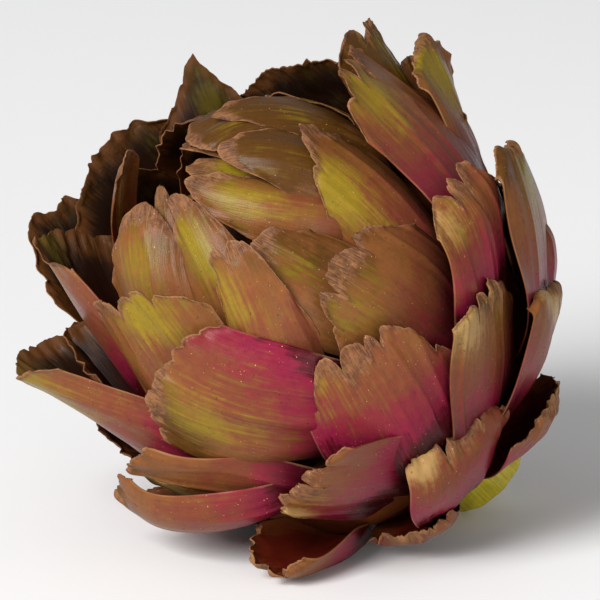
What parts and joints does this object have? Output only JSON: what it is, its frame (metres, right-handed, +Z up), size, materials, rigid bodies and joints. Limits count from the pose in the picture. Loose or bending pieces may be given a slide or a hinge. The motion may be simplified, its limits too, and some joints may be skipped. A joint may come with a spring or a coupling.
{
  "type": "artichoke",
  "caption": "Artichoke head lying on its side: overlapping cupped bracts with torn tips over an ovoid bud, and a short cut stem.",
  "frame": {"origin": "middle of the outline's box, on the surface that the head lies on", "axes": "+Z up; the head's tip leans 45 degrees from upright towards -X and a little towards -Y, and its cut stem points down towards +X; the pictured side faces -Y"},
  "size_m": [0.1125, 0.1028, 0.1041],
  "materials": {
    "bract": "waxy plant skin, crimson at the root to olive green and brown at the tips",
    "stem": "smooth yellow-green plant stem"
  },
  "bodies": {
    "root": {"head": "bract", "stem": "stem"}
  },
  "joints": []
}
